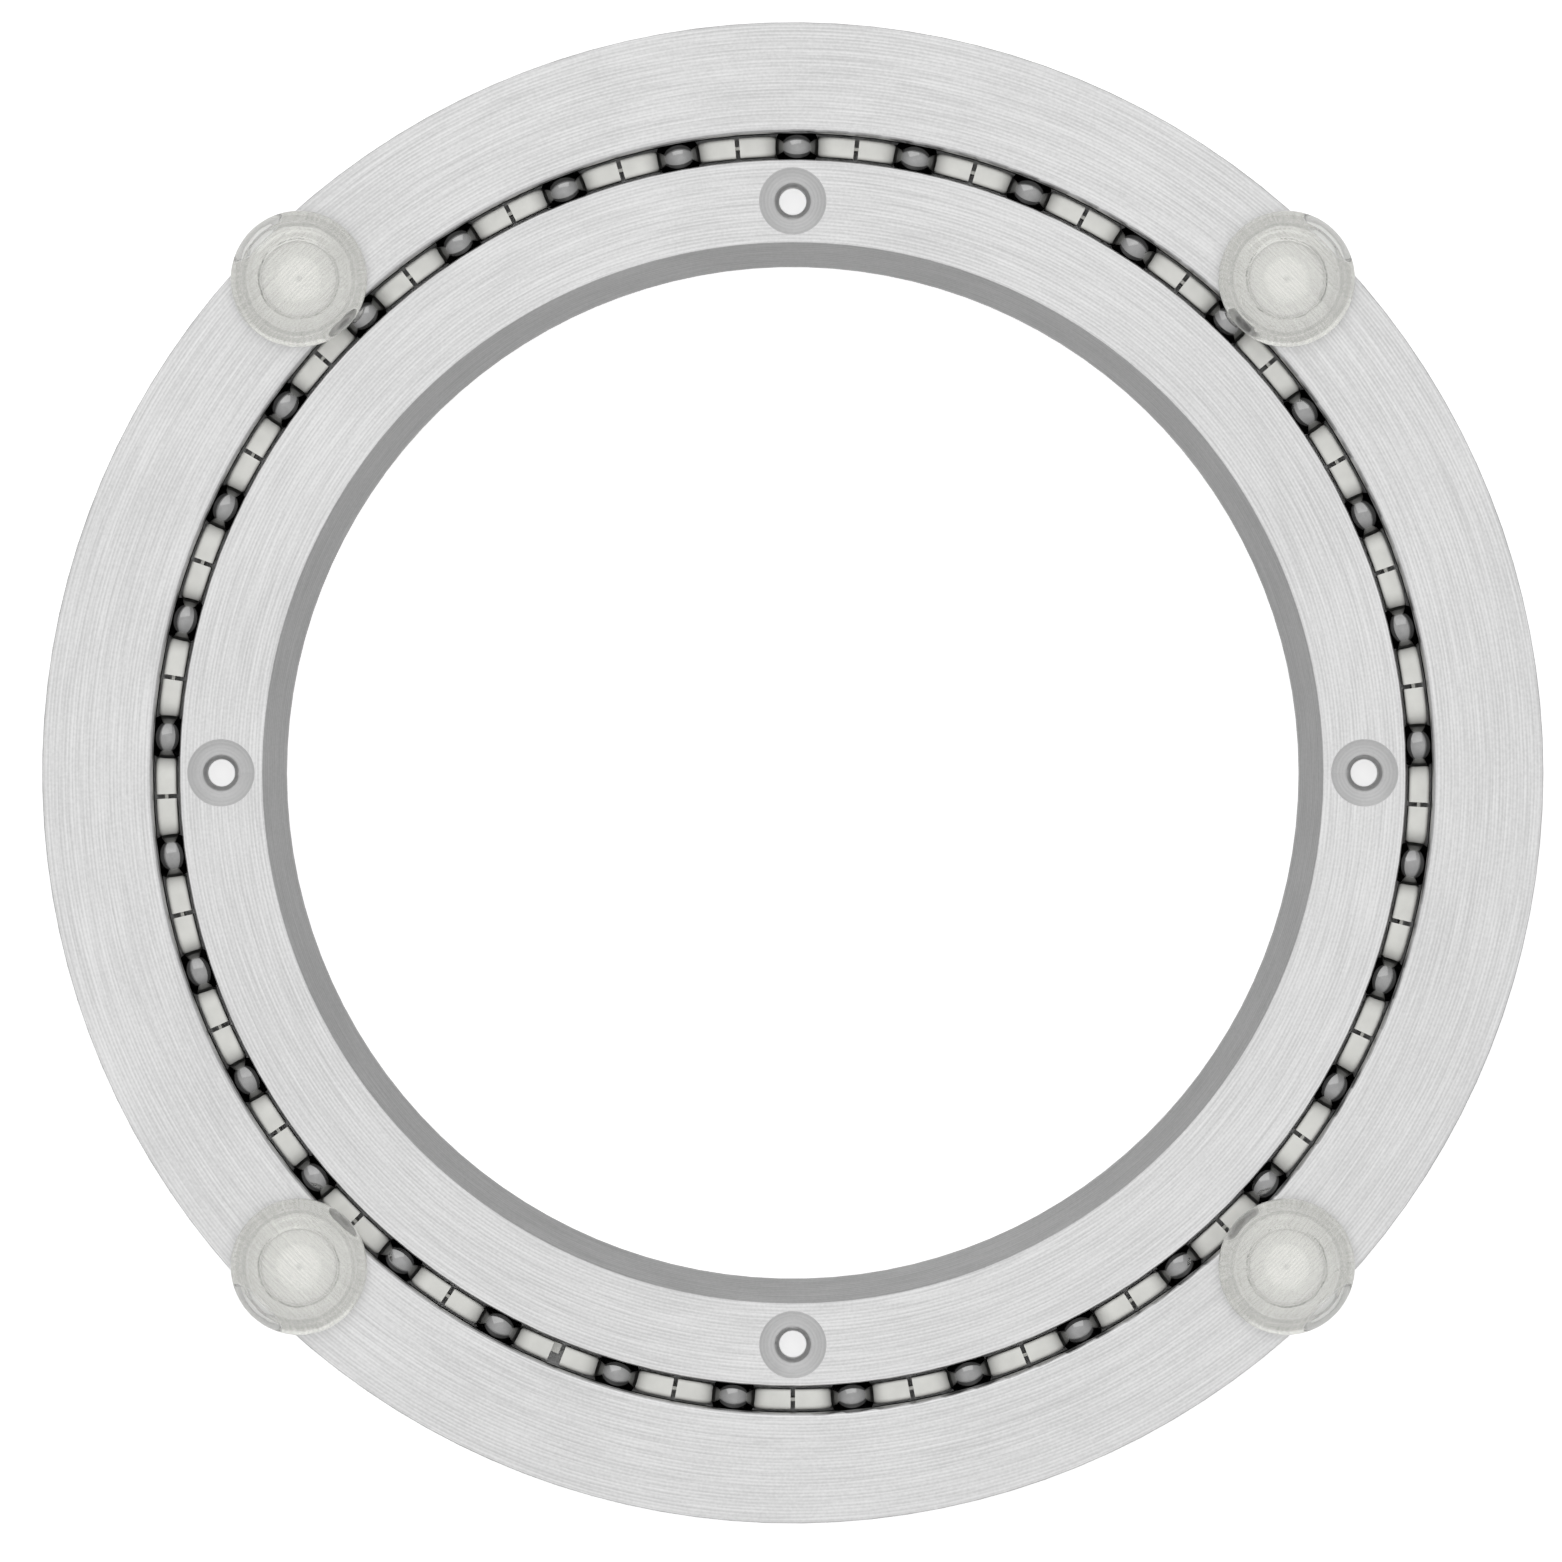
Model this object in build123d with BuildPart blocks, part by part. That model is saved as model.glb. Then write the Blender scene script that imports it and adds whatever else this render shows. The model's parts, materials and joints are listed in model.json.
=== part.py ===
from build123d import *
import os
from math import cos, degrees, radians, sin

# Lazy susan bearing: an inner and an outer aluminium ring turn on steel balls, which a moulded
# strip spaces out in the race between them. It lies flat with the soft pads on top.
# All lengths are in millimetres, all angles in degrees, and Z is the axis that the rings turn on.

# Rings
outer_diameter = 200.0
outer_ring_width = 14.75  # across the flat face, from the rim to the race
inner_ring_width = 14.25  # from the race to the bore
ring_thickness = 8.5
ring_step = 1.0  # how far the outer ring sits above the inner one, at both faces
bore_bevel = 3.2  # wide bevel at the upper edge of the bore
lip_round = 0.7  # rounded edges of the outer ring along the race
edge_break = 0.15
lip_thickness = 0.6  # flange of the inner ring that closes the race from below
lip_overlap = 0.6  # how far the flange reaches under the outer ring

# Race and balls
race_gap = 3.5  # open width between the two rings
ball_diameter = 6.0
ball_count = 33
ball_clearance = 0.2  # between a ball and the grooves

# Ball retainer, a strip of links on thin hinges
retainer_clearance = 0.4  # between the strip and each ring
retainer_drop = 0.3  # strip below the face of the inner ring
retainer_floor = 0.4  # thinnest part of a link, under its ball
pocket_clearance = 0.3
pocket_mouth = 5.6  # opening above the ball, a little less than the ball
mouth_round = 2.4
corner_round = 0.5
slit_width = 0.6  # between two links
hinge_thickness = 0.45
hinge_length = 1.2  # runs into the links at both ends
hinge_drop = 0.9
strip_opening = -112.15  # direction in which the two ends of the strip face each other
end_gap = 1.1  # by how much the strip falls short of a full turn
tongue_length = 1.1
tongue_drop = 1.3

# Screw holes in the inner ring
hole_inset = 5.55  # from the rim of the ring to the middle of a hole
hole_count = 4
hole_diameter = 3.6
sink_diameter = 9.0
sink_angle = 90.0
throat_round = 2.2  # between the countersink and the hole

# Soft pads on the outer ring
pad_inset = 7.0  # from the rim of the ring to the middle of a pad
pad_count = 4
pad_direction = 45.0  # of the first pad
pad_glue = 0.1  # adhesive film under a pad
pad_diameter = 18.2
pad_height = 3.5
pad_round = 1.8
dish_diameter = 11.2
dish_depth = 0.8
dish_step = 0.3  # steep edge round the dish
gate_diameter = 0.8  # moulding mark in the middle of the dish
gate_height = 0.25

# Sizes that follow from these
outer_radius = outer_diameter / 2
outer_ring_radius = outer_radius - outer_ring_width
inner_ring_radius = outer_ring_radius - race_gap
bore_radius = inner_ring_radius - inner_ring_width
race_radius = inner_ring_radius + race_gap / 2
ball_radius = ball_diameter / 2
hole_circle_radius = inner_ring_radius - hole_inset
pad_circle_radius = outer_radius - pad_inset
lip_radius = outer_ring_radius + lip_overlap
outer_ring_top = ring_step + ring_thickness
race_height = outer_ring_top / 2
bowl_depth = dish_depth - dish_step
bowl_radius = (dish_diameter**2 / 4 + bowl_depth**2) / (2 * bowl_depth)
groove_radius = ball_radius + ball_clearance
pocket_radius = ball_radius + pocket_clearance

retainer_width = race_gap - 2 * retainer_clearance
retainer_inner_radius = race_radius - retainer_width / 2
retainer_outer_radius = race_radius + retainer_width / 2
retainer_base = race_height - pocket_radius - retainer_floor
retainer_top = ring_thickness - retainer_drop
retainer_height = retainer_top - retainer_base

end_gap_angle = degrees(end_gap / race_radius)
ball_pitch = (360 - end_gap_angle) / ball_count
slit_angle = degrees(slit_width / race_radius)
link_angle = ball_pitch - slit_angle
first_ball = strip_opening + (end_gap_angle + ball_pitch) / 2
ball_angles = [first_ball + ball_pitch * index for index in range(ball_count)]
hinge_angles = [angle + ball_pitch / 2 for angle in ball_angles[:-1]]

os.makedirs("parts", exist_ok=True)


# Inner ring: bevelled bore, ball groove in its rim, flange under the race, countersunk screw holes
with BuildPart() as inner_ring:
    with BuildSketch(Plane.XZ):
        with BuildLine():
            Polyline(
                (bore_radius, 0),
                (lip_radius, 0),
                (lip_radius, lip_thickness),
                (inner_ring_radius, lip_thickness),
                (inner_ring_radius, ring_thickness),
                (bore_radius + bore_bevel, ring_thickness),
                (bore_radius, ring_thickness - bore_bevel),
                close=True,
            )
        make_face()
        with Locations((race_radius, race_height)):
            Circle(groove_radius, mode=Mode.SUBTRACT)
    revolve(axis=Axis.Z)
    levels = inner_ring.edges().filter_by(GeomType.CIRCLE).group_by(Axis.Z)
    rim_edge = levels[-1].sort_by(SortBy.RADIUS)[-1]
    chamfer([*levels[0], rim_edge], edge_break)
    with Locations(inner_ring.faces().sort_by(Axis.Z)[-1].center_location):
        with PolarLocations(hole_circle_radius, hole_count):
            CounterSinkHole(hole_diameter / 2, sink_diameter / 2, counter_sink_angle=sink_angle)
    hole_edges = inner_ring.edges().filter_by(GeomType.CIRCLE).group_by(SortBy.RADIUS)[0]
    fillet(hole_edges.group_by(Axis.Z)[-1], throat_round)
inner_ring.part.label = "inner_ring"
export_step(inner_ring.part, "parts/inner_ring.step")


# Outer ring: rounded lips along the race, ball groove between them
with BuildPart() as outer_ring:
    with BuildSketch(Plane.XZ):
        with BuildLine():
            Polyline(
                (outer_ring_radius, ring_step),
                (outer_radius, ring_step),
                (outer_radius, outer_ring_top),
                (outer_ring_radius, outer_ring_top),
                close=True,
            )
        make_face()
        fillet(vertices().group_by(Axis.X)[0], lip_round)
        with Locations((race_radius, race_height)):
            Circle(groove_radius, mode=Mode.SUBTRACT)
    revolve(axis=Axis.Z)
    rim_edges = outer_ring.edges().filter_by(GeomType.CIRCLE).group_by(SortBy.RADIUS)[-1]
    chamfer(rim_edges, edge_break)
outer_ring.part.label = "outer_ring"
export_step(outer_ring.part, "parts/outer_ring.step")


# Balls, one after another round the race
for number, angle in enumerate(ball_angles, start=1):
    with BuildPart(Plane.XY.offset(race_height)) as ball:
        with PolarLocations(race_radius, 1, start_angle=angle):
            Sphere(ball_radius)
    ball.part.label = f"steel_ball_{number:02d}"
    export_step(ball.part, f"parts/steel_ball_{number:02d}.step")


# One link of the retainer, on the X axis: a floor under the ball and a post on each side of it
with BuildPart() as link:
    with BuildSketch(Plane.XY.offset(retainer_base)):
        with BuildLine():
            inner_edge = CenterArc((0, 0), retainer_inner_radius, -link_angle / 2, link_angle)
            outer_edge = CenterArc((0, 0), retainer_outer_radius, -link_angle / 2, link_angle)
            Line(inner_edge @ 0, outer_edge @ 0)
            Line(inner_edge @ 1, outer_edge @ 1)
        make_face()
    extrude(amount=retainer_height)
    with Locations((race_radius, 0, race_height)):
        Box(
            race_gap,
            pocket_mouth,
            retainer_height,
            align=(Align.CENTER, Align.CENTER, Align.MIN),
            mode=Mode.SUBTRACT,
        )
    fillet(link.edges().filter_by(Axis.X).group_by(Axis.Z)[-1], mouth_round)
    posts = link.faces().filter_by(Axis.Y)
    fillet(posts.edges().filter_by(Axis.Z), corner_round)
    with Locations((race_radius, 0, race_height)):
        Sphere(pocket_radius, mode=Mode.SUBTRACT)

# Ball retainer: the links in a row, thin upright hinges across the slits and a tongue at one end
with BuildPart() as ball_retainer:
    with Locations(*[Location((0, 0, 0), (0, 0, angle)) for angle in ball_angles]):
        add(link.part)
    with Locations(*[Location((0, 0, retainer_base), (0, 0, angle)) for angle in hinge_angles]):
        with Locations((race_radius, 0, 0)):
            Box(
                hinge_thickness,
                hinge_length,
                retainer_height - hinge_drop,
                align=(Align.CENTER, Align.CENTER, Align.MIN),
            )
    last_end = ball_angles[-1] + link_angle / 2
    with Locations(Location((0, 0, retainer_base), (0, 0, last_end))):
        with Locations((retainer_inner_radius, 0, 0)):
            Box(
                retainer_width / 2,
                tongue_length,
                retainer_height - tongue_drop,
                align=(Align.MIN, Align.MIN, Align.MIN),
            )
ball_retainer.part.label = "ball_retainer"
export_step(ball_retainer.part, "parts/ball_retainer.step")


def pad_centre(index):
    """Middle of a pad's underside, on the film that sticks it to the outer ring."""
    direction = radians(pad_direction + 360 / pad_count * index)
    height = outer_ring_top + pad_glue
    return (pad_circle_radius * cos(direction), pad_circle_radius * sin(direction), height)


# Soft pads: round-shouldered discs with a dished top and a moulding mark
for index in range(pad_count):
    seat = pad_centre(index)
    with BuildPart(Plane(seat)) as pad:
        Cylinder(
            pad_diameter / 2,
            pad_height,
            align=(Align.CENTER, Align.CENTER, Align.MIN),
        )
        fillet(pad.edges().filter_by(GeomType.CIRCLE).sort_by(Axis.Z)[-1], pad_round)
        with Locations((0, 0, pad_height)):
            Cylinder(
                dish_diameter / 2,
                dish_step,
                align=(Align.CENTER, Align.CENTER, Align.MAX),
                mode=Mode.SUBTRACT,
            )
        with Locations((0, 0, pad_height - dish_depth + bowl_radius)):
            Sphere(bowl_radius, mode=Mode.SUBTRACT)
        with Locations((0, 0, pad_height - 2 * dish_depth)):
            Cylinder(
                gate_diameter / 2,
                dish_depth + gate_height,
                align=(Align.CENTER, Align.CENTER, Align.MIN),
            )
    pad.part.label = f"rubber_pad_{index + 1}"
    export_step(pad.part, f"parts/rubber_pad_{index + 1}.step")
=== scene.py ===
import json
import math

import bpy
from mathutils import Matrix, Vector


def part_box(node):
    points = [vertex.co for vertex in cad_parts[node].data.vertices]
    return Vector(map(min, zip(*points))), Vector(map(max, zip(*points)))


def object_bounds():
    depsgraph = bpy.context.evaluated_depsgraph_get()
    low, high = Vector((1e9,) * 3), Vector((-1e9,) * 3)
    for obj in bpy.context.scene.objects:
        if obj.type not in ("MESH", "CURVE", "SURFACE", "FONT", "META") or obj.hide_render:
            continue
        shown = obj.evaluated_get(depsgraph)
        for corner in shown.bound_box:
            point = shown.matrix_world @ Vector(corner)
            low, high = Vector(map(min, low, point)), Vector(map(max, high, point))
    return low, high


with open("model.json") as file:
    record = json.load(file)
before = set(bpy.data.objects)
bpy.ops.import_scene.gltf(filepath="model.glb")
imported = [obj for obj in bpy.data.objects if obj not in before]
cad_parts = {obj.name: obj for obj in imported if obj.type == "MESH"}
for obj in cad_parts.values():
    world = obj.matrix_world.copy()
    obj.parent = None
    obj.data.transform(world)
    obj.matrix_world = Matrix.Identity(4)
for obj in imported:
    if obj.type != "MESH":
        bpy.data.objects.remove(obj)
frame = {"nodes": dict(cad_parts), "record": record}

cad_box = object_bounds()

# Lengths are in metres. A pair of values goes from the darkest or smoothest spot of a finish to
# its palest or roughest one.

# Where the photograph shows the bearing, in its own pixels
photo_width_px = 1562.0
ring_middle_px = (792.8, 772.8)
ring_radius_px = 750.65

# Camera: straight above, far off and with a long lens, as flat as the photograph's view
camera_height = 4.0
sensor_width = 36.0  # millimetres

# Floor and light
white = (1.0, 1.0, 1.0, 1.0)
white_light = 1.0  # strength at which the background looks white
floor_half_width = 4.0
floor_drop = 0.00005  # keeps the floor clear of the base
floor_colour = (0.9, 0.9, 0.9, 1.0)
floor_roughness = 0.9
floor_glow = 0.56  # lifts the floor beside the bearing to white for the camera
floor_reflection = 0.2  # does the same in metal and through clear rubber
zenith_light = 1.25
horizon_light = 0.21
backdrop_height = 0.05  # of the white backdrop, as the sine of its angle over the horizon
key_power = 7.0
key_size = 2.0
key_place = (-0.25, 1.32, 1.42)

# Features that the finishes follow
outer_radius = 0.1
bore_radius = 0.0675
bevel_radius = 0.0707  # where the bore's bevel meets the face
hole_circle_radius = 0.0762
hole_radius = 0.0019  # of the floor that shows through a screw hole
sink_radius = 0.0045
race_radius = 0.0835
race_reach = 0.0033  # of the ball grooves, to each side of the race's middle
race_middle = 0.00485  # height of the grooves
race_half_height = 0.00355
lip_centre_radius = 0.08595  # middle of the round on the outer ring's upper lip
lip_centre_height = 0.0088
pad_offset = 0.06576  # of a pad's middle, along X and along Y
pad_radius = 0.0091
glue_height = 0.0094  # the film that holds the pads lies above this

# Turned aluminium
face_greys = (0.46, 0.70)
# painted light on the countersinks, paler than the face
sink_light_greys = (0.64, 0.78)
# painted shade on the bore's bevel and wall, darker than the face
bore_shade_greys = (0.37, 0.51)
race_shade_greys = (0.14, 0.26)  # painted shade in the race, darker than the face
pad_seat_light_greys = (0.56, 0.71)  # painted light under the pads, paler where the clear rubber lets light through
metal_roughness = (0.30, 0.50)
glued_roughness = 0.12
lathe_feed = 0.00046  # from one turned line to the next
line_waver = 5.0  # by how much the streaks shift a line, in radians
streak_scale = 2600.0  # across the cutter's path
streak_breaks = 7.0  # along it, round the axis
cloud_scale = 42.0
speck_scale = 2600.0
line_weight = 0.12  # shares in the tone, beside the streaks' own share of 1
cloud_weight = 0.25
speck_weight = 0.45
tone_limits = (0.35, 1.35)  # sums of these at which the metal is darkest and palest
streak_relief = 3.0  # height of the streaks, where a turned line's is 1
groove_depth = 0.000003
groove_strength = 0.6

# Bearing steel
# painted shade: the balls are darker all over than bare steel
shaded_steel_greys = (0.22, 0.34)
steel_roughness = (0.06, 0.18)
haze_scale = 900.0

# White nylon
nylon_colours = ((0.55, 0.55, 0.525, 1.0), (0.715, 0.715, 0.68, 1.0))
nylon_roughness = (0.38, 0.60)
flow_scale = 420.0
grain_scale = 5000.0
grain_depth = 0.00002
grain_strength = 0.5

# Clear rubber
rubber_clearness = 0.97
rubber_index = 1.41  # of refraction
rubber_roughness = (0.0, 0.02)
rubber_blue = 0.975  # blue that is left by the rubber's faint yellow
skin_scale = 320.0
skin_depth = 0.00003
ring_waver = 0.0004  # by how much the pads' rings stray from true circles
pad_shade_bands = (  # painted shade: shares of a pad's radius, and how clear it looks there, darker where slopes bend light away
    (0.0, 0.9),
    (0.08, 0.99),
    (0.25, 0.98),
    (0.42, 0.92),
    (0.53, 0.9),
    (0.57, 0.81),
    (0.61, 0.89),
    (0.75, 0.88),
    (0.8, 0.79),
    (0.85, 0.84),
    (1.0, 0.97),
)
pad_rings = (  # moulded steps of a pad: where each begins and ends, and how far it rises
    (0.0030, 0.0034, 0.00006),
    (0.0050, 0.0056, 0.00022),
    (0.0067, 0.0071, -0.00010),
    (0.0075, 0.0079, -0.00012),
)

nodes_by_slot = {}
for part in frame["record"]["subparts"]:
    nodes_by_slot.setdefault(part["material_slot"], []).append(part["node"])


class Nodes:
    """A node tree and short ways to add and join its nodes."""

    def __init__(self, tree):
        self.tree = tree

    def add(self, kind, **settings):
        node = self.tree.nodes.new(kind)
        for setting, value in settings.items():
            setattr(node, setting, value)
        return node

    def join(self, source, target):
        self.tree.links.new(source, target)

    def feed(self, socket, value):
        """Sets a socket to a value, or joins it to another node's output."""
        if isinstance(value, bpy.types.NodeSocket):
            self.join(value, socket)
        else:
            socket.default_value = value

    def maths(self, operation, *values):
        node = self.add("ShaderNodeMath", operation=operation)
        for socket, value in zip(node.inputs, values):
            self.feed(socket, value)
        return node.outputs[0]

    def plus(self, value, addend, weight):
        """Adds a weighted addend to a value."""
        return self.maths("ADD", value, self.maths("MULTIPLY", addend, weight))

    def blend(self, share, low, high):
        """Goes from low to high as share goes from 0 to 1."""
        node = self.add("ShaderNodeMix", data_type="FLOAT", clamp_factor=True)
        self.feed(node.inputs[0], share)
        self.feed(node.inputs[2], low)
        self.feed(node.inputs[3], high)
        return node.outputs[0]

    def blend_colour(self, share, low, high):
        node = self.add("ShaderNodeMix", data_type="RGBA", clamp_factor=True)
        self.feed(node.inputs[0], share)
        self.feed(node.inputs[6], low)
        self.feed(node.inputs[7], high)
        return node.outputs[2]

    def blend_greys(self, share, greys):
        low, high = greys
        return self.blend_colour(share, (low, low, low, 1.0), (high, high, high, 1.0))

    def ramp(self, value, start, end):
        """0 up to start, 1 from end on, and smooth between them."""
        node = self.add("ShaderNodeMapRange", interpolation_type="SMOOTHSTEP")
        self.feed(node.inputs["Value"], value)
        self.feed(node.inputs["From Min"], start)
        self.feed(node.inputs["From Max"], end)
        return node.outputs[0]

    def noise(self, place, scale, detail, roughness=0.5):
        node = self.add("ShaderNodeTexNoise")
        self.join(place, node.inputs["Vector"])
        node.inputs["Scale"].default_value = scale
        node.inputs["Detail"].default_value = detail
        node.inputs["Roughness"].default_value = roughness
        return node.outputs["Fac"]

    def split(self, vector):
        node = self.add("ShaderNodeSeparateXYZ")
        self.join(vector, node.inputs[0])
        return node.outputs

    def vector(self, x, y, z):
        node = self.add("ShaderNodeCombineXYZ")
        for socket, value in zip(node.inputs, (x, y, z)):
            self.feed(socket, value)
        return node.outputs[0]

    def length(self, x, y):
        return self.maths("SQRT", self.plus(self.maths("MULTIPLY", x, x), y, y))

    def rays(self):
        """Whether the camera sends a ray, and whether metal or clear rubber does."""
        path = self.add("ShaderNodeLightPath").outputs
        passed_on = self.maths("MAXIMUM", path["Is Glossy Ray"], path["Is Transmission Ray"])
        return path["Is Camera Ray"], passed_on


class Finish(Nodes):
    """A material, and the places on the bearing that finishes follow."""

    def __init__(self, name):
        self.material = bpy.data.materials.new(name)
        self.material.use_nodes = True
        super().__init__(self.material.node_tree)
        self.surface = self.tree.nodes["Principled BSDF"]

    def set(self, **values):
        """Sets or joins the surface's sockets; spaces in their names are written as underscores."""
        for name, value in values.items():
            self.feed(self.surface.inputs[name.replace("_", " ")], value)

    def place(self):
        return self.add("ShaderNodeTexCoord").outputs["Object"]

    def from_hole(self, x, y):
        """Distance from the nearest screw hole's axis; the holes lie on X and Y."""
        across = self.maths("ABSOLUTE", x)
        along = self.maths("ABSOLUTE", y)
        outwards = self.maths("SUBTRACT", self.maths("MAXIMUM", across, along), hole_circle_radius)
        return self.length(outwards, self.maths("MINIMUM", across, along))

    def from_pad(self, x, y):
        """Distance from the nearest pad's axis; the pads lie on the diagonals."""
        across = self.maths("SUBTRACT", self.maths("ABSOLUTE", x), pad_offset)
        along = self.maths("SUBTRACT", self.maths("ABSOLUTE", y), pad_offset)
        return self.length(across, along)

    def round_normal(self, inside, outwards):
        """The given direction where inside is 1, and the surface's own normal elsewhere."""
        turn = self.add("ShaderNodeVectorTransform", vector_type="NORMAL")
        turn.convert_from = "OBJECT"
        turn.convert_to = "WORLD"
        self.join(outwards, turn.inputs[0])
        unit = self.add("ShaderNodeVectorMath", operation="NORMALIZE")
        self.join(turn.outputs[0], unit.inputs[0])
        node = self.add("ShaderNodeMix", data_type="VECTOR", clamp_factor=True)
        self.join(inside, node.inputs[0])
        self.join(self.add("ShaderNodeNewGeometry").outputs["Normal"], node.inputs[4])
        self.join(unit.outputs[0], node.inputs[5])
        return node.outputs[1]

    def bump(self, height, depth, strength=1.0, normal=None):
        node = self.add("ShaderNodeBump")
        if normal:
            self.join(normal, node.inputs["Normal"])
        node.inputs["Strength"].default_value = strength
        node.inputs["Distance"].default_value = depth
        self.join(height, node.inputs["Height"])
        self.join(node.outputs[0], self.surface.inputs["Normal"])


def turned_aluminium():
    """Bare aluminium off the lathe: fine rings round the axis, and round each countersink."""
    metal = Finish("turned_aluminium")
    place = metal.place()
    x, y, z = metal.split(place)
    radius = metal.length(x, y)
    across = metal.maths("DIVIDE", x, radius)
    along = metal.maths("DIVIDE", y, radius)

    # the cutter's path over the faces and down the walls, and round the countersinks
    hole_distance = metal.from_hole(x, y)
    in_sink = metal.maths("LESS_THAN", hole_distance, sink_radius)
    path = metal.blend(in_sink, metal.maths("ADD", radius, z), hole_distance)
    stretched = metal.vector(
        metal.maths("MULTIPLY", path, streak_scale),
        metal.maths("MULTIPLY", across, streak_breaks),
        metal.maths("MULTIPLY", along, streak_breaks),
    )
    streak = metal.noise(stretched, 1.0, detail=4.0, roughness=0.6)
    turns = metal.maths("MULTIPLY", path, math.tau / lathe_feed)
    line = metal.maths("SINE", metal.plus(turns, streak, line_waver))
    cloud = metal.noise(place, cloud_scale, detail=3.0)
    speck = metal.noise(place, speck_scale, detail=2.0)
    tone = metal.plus(streak, line, line_weight)
    tone = metal.plus(tone, cloud, cloud_weight)
    tone = metal.plus(tone, speck, speck_weight)
    tone = metal.ramp(tone, *tone_limits)

    # the face's colour, and those of the places that differ from it: painted light under the pads
    # and on the countersinks, painted shade in the race and on the bore's bevel
    in_bore = metal.maths("LESS_THAN", radius, bevel_radius)
    in_race = metal.maths(
        "MULTIPLY",
        metal.maths("COMPARE", radius, race_radius, race_reach),
        metal.maths("COMPARE", z, race_middle, race_half_height),
    )
    under_pad = metal.maths(
        "MULTIPLY",
        metal.maths("LESS_THAN", metal.from_pad(x, y), pad_radius),
        metal.maths("GREATER_THAN", z, glue_height),
    )
    colour = metal.blend_greys(tone, face_greys)
    colour = metal.blend_colour(under_pad, colour, metal.blend_greys(tone, pad_seat_light_greys))
    colour = metal.blend_colour(in_race, colour, metal.blend_greys(tone, race_shade_greys))
    colour = metal.blend_colour(in_sink, colour, metal.blend_greys(tone, sink_light_greys))
    colour = metal.blend_colour(in_bore, colour, metal.blend_greys(tone, bore_shade_greys))
    turned_roughness = metal.blend(streak, *metal_roughness)
    metal.set(
        Base_Color=colour,
        Metallic=1.0,
        Roughness=metal.blend(under_pad, turned_roughness, glued_roughness),
    )

    # the outer ring's upper lip is shaded as the true round
    inwards = metal.maths("SUBTRACT", radius, lip_centre_radius)
    rise = metal.maths("SUBTRACT", z, lip_centre_height)
    on_lip = metal.maths(
        "MULTIPLY",
        metal.maths("LESS_THAN", inwards, 0.0),
        metal.maths("GREATER_THAN", rise, 0.0),
    )
    slope = metal.vector(
        metal.maths("MULTIPLY", across, inwards),
        metal.maths("MULTIPLY", along, inwards),
        rise,
    )
    grooves = metal.plus(line, streak, streak_relief)
    metal.bump(grooves, groove_depth, groove_strength, metal.round_normal(on_lip, slope))
    return metal.material


def bearing_steel():
    """Ground and polished balls, with the faint haze of assembly oil, and painted shade that
    darkens them all over.
    """
    steel = Finish("bearing_steel")
    haze = steel.noise(steel.place(), haze_scale, detail=3.0)
    steel.set(
        Base_Color=steel.blend_greys(haze, shaded_steel_greys),
        Metallic=1.0,
        Roughness=steel.blend(haze, *steel_roughness),
    )
    return steel.material


def white_nylon():
    """Moulded natural nylon: off-white, slightly waxy, with a fine eroded grain."""
    nylon = Finish("white_nylon")
    place = nylon.place()
    grain = nylon.noise(place, grain_scale, detail=3.0)
    flow = nylon.noise(place, flow_scale, detail=3.0)
    nylon.set(
        Base_Color=nylon.blend_colour(flow, *nylon_colours),
        Roughness=nylon.blend(grain, *nylon_roughness),
    )
    nylon.bump(grain, grain_depth, grain_strength)
    return nylon.material


def clear_rubber():
    """Soft clear pads: moulded rings round a thin hollow, darker where slopes bend light away."""
    rubber = Finish("clear_rubber")
    place = rubber.place()
    x, y = rubber.split(place)[:2]
    skin = rubber.noise(place, skin_scale, detail=3.0)
    stray = rubber.maths("SUBTRACT", skin, 0.5)
    distance = rubber.plus(rubber.from_pad(x, y), stray, ring_waver)

    bands = rubber.add("ShaderNodeValToRGB")
    bands.color_ramp.interpolation = "EASE"
    stops = bands.color_ramp.elements
    while len(stops) < len(pad_shade_bands):
        stops.new(0.5)
    for stop, (share, band_shade) in zip(stops, pad_shade_bands):
        stop.position = share
        stop.color = (band_shade, band_shade, band_shade * rubber_blue, 1.0)
    rubber.join(rubber.maths("DIVIDE", distance, pad_radius), bands.inputs[0])

    relief = rubber.maths("MULTIPLY", skin, skin_depth)
    for start, end, rise in pad_rings:
        relief = rubber.plus(relief, rubber.ramp(distance, start, end), rise)
    rubber.set(
        Base_Color=bands.outputs[0],
        Transmission_Weight=rubber_clearness,
        IOR=rubber_index,
        Roughness=rubber.blend(skin, *rubber_roughness),
    )
    rubber.bump(relief, 1.0)
    return rubber.material


def dress(slot, material):
    """Gives every CAD node of a slot its finish."""
    for node in nodes_by_slot[slot]:
        slots = frame["nodes"][node].data.materials
        slots.clear()
        slots.append(material)


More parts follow.
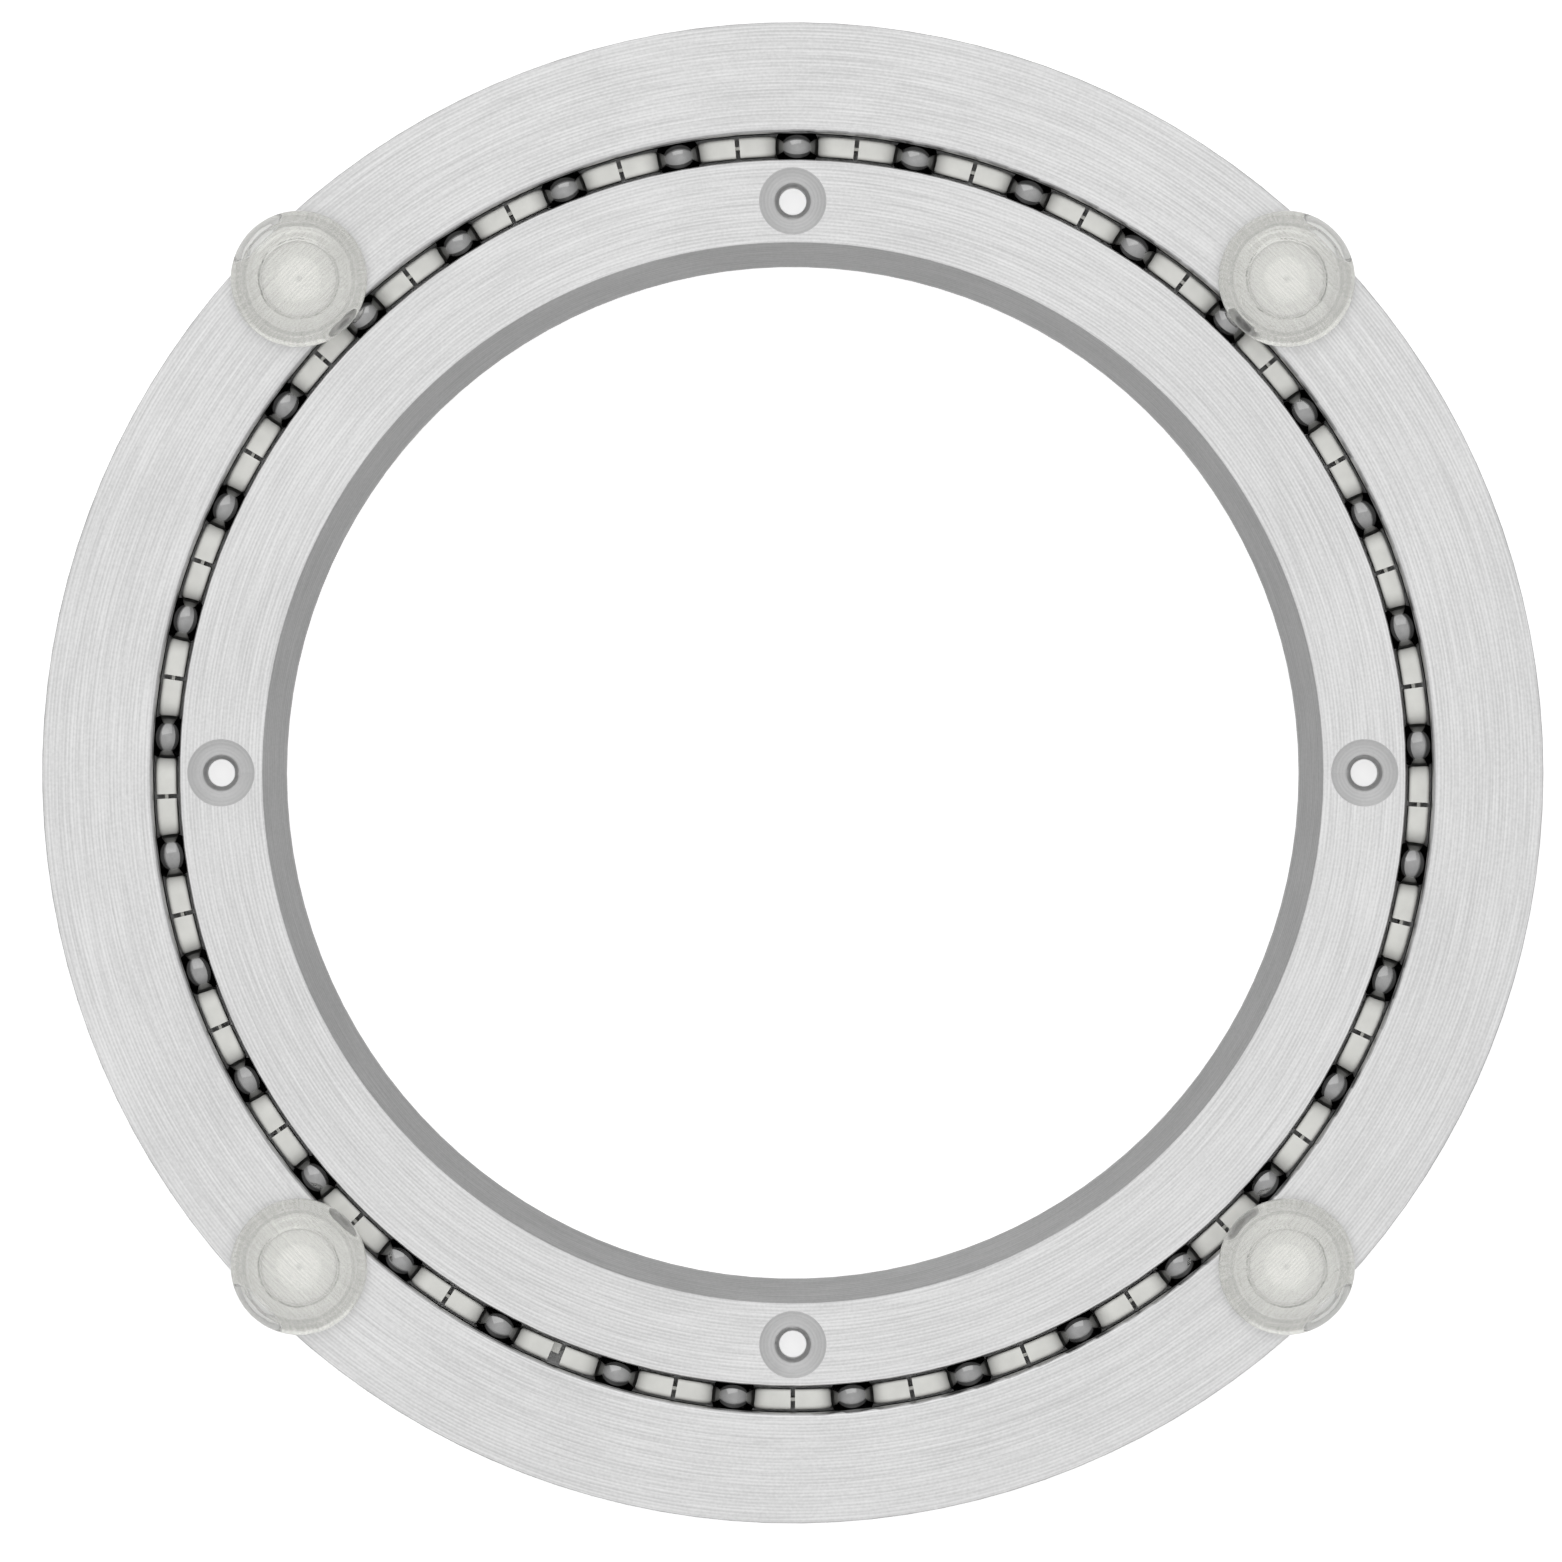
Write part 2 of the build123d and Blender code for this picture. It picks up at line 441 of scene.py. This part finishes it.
def white_floor():
    """A plain floor, white beside the bearing and through its holes, that takes its shadow."""
    height = cad_box[0][2] - floor_drop
    corners = [(-1, -1), (1, -1), (1, 1), (-1, 1)]
    points = [(a * floor_half_width, b * floor_half_width, height) for a, b in corners]
    mesh = bpy.data.meshes.new("floor")
    mesh.from_pydata(points, [], [(0, 1, 2, 3)])
    floor = bpy.data.objects.new("floor", mesh)
    bpy.context.scene.collection.objects.link(floor)

    paint = Finish("floor")
    x, y = paint.split(paint.place())[:2]
    radius = paint.length(x, y)
    beside = paint.maths("GREATER_THAN", radius, outer_radius)
    in_bore = paint.maths("LESS_THAN", radius, bore_radius)
    in_hole = paint.maths("LESS_THAN", paint.from_hole(x, y), hole_radius)
    open_floor = paint.maths("MAXIMUM", paint.maths("MAXIMUM", beside, in_bore), in_hole)
    camera_ray, passed_on_ray = paint.rays()
    direct = paint.maths("MULTIPLY", camera_ray, floor_glow)
    passed_on = paint.maths("MULTIPLY", passed_on_ray, floor_reflection)
    glow = paint.maths("MULTIPLY", paint.maths("MAXIMUM", direct, passed_on), open_floor)
    paint.set(
        Base_Color=floor_colour,
        Roughness=floor_roughness,
        Specular_IOR_Level=0.0,
        Emission_Color=white,
        Emission_Strength=glow,
    )
    mesh.materials.append(paint.material)


def studio_light():
    """A pale room, brighter overhead, and one large soft lamp from the top of the picture."""
    world = bpy.data.worlds.new("studio")
    world.use_nodes = True
    bpy.context.scene.world = world
    room = Nodes(world.node_tree)
    rise = room.split(room.add("ShaderNodeTexCoord").outputs["Generated"])["Z"]
    light = room.blend(rise, horizon_light, zenith_light)
    camera_ray, passed_on_ray = room.rays()
    on_backdrop = room.maths("LESS_THAN", rise, backdrop_height)
    passed_on = room.maths("MULTIPLY", passed_on_ray, on_backdrop)
    seen = room.maths("MAXIMUM", camera_ray, passed_on)
    background = room.tree.nodes["Background"]
    background.inputs["Color"].default_value = white
    room.join(room.blend(seen, light, white_light), background.inputs["Strength"])

    lamp = bpy.data.lights.new("key", "AREA")
    lamp.energy = key_power
    lamp.size = key_size
    key = bpy.data.objects.new("key", lamp)
    key.location = key_place
    key.rotation_euler = (-Vector(key_place)).to_track_quat("-Z", "Y").to_euler()
    key.visible_camera = False
    bpy.context.scene.collection.objects.link(key)


def overhead_camera():
    """The photograph's square-on view, with the bearing a little off the middle of the frame."""
    low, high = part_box("outer_ring")
    pixel = (high[0] - low[0]) / 2 / ring_radius_px
    lens = bpy.data.cameras.new("camera")
    lens.sensor_width = sensor_width
    lens.lens = sensor_width * camera_height / (photo_width_px * pixel)
    camera = bpy.data.objects.new("camera", lens)
    middle_px = photo_width_px / 2
    camera.location = (
        (middle_px - ring_middle_px[0]) * pixel,
        (ring_middle_px[1] - middle_px) * pixel,
        high[2] + camera_height,
    )
    bpy.context.scene.collection.objects.link(camera)
    bpy.context.scene.camera = camera


dress("turned_aluminium", turned_aluminium())
dress("bearing_steel", bearing_steel())
dress("white_nylon", white_nylon())
dress("clear_rubber", clear_rubber())
white_floor()
studio_light()
overhead_camera()
bpy.context.scene.view_settings.view_transform = "Standard"
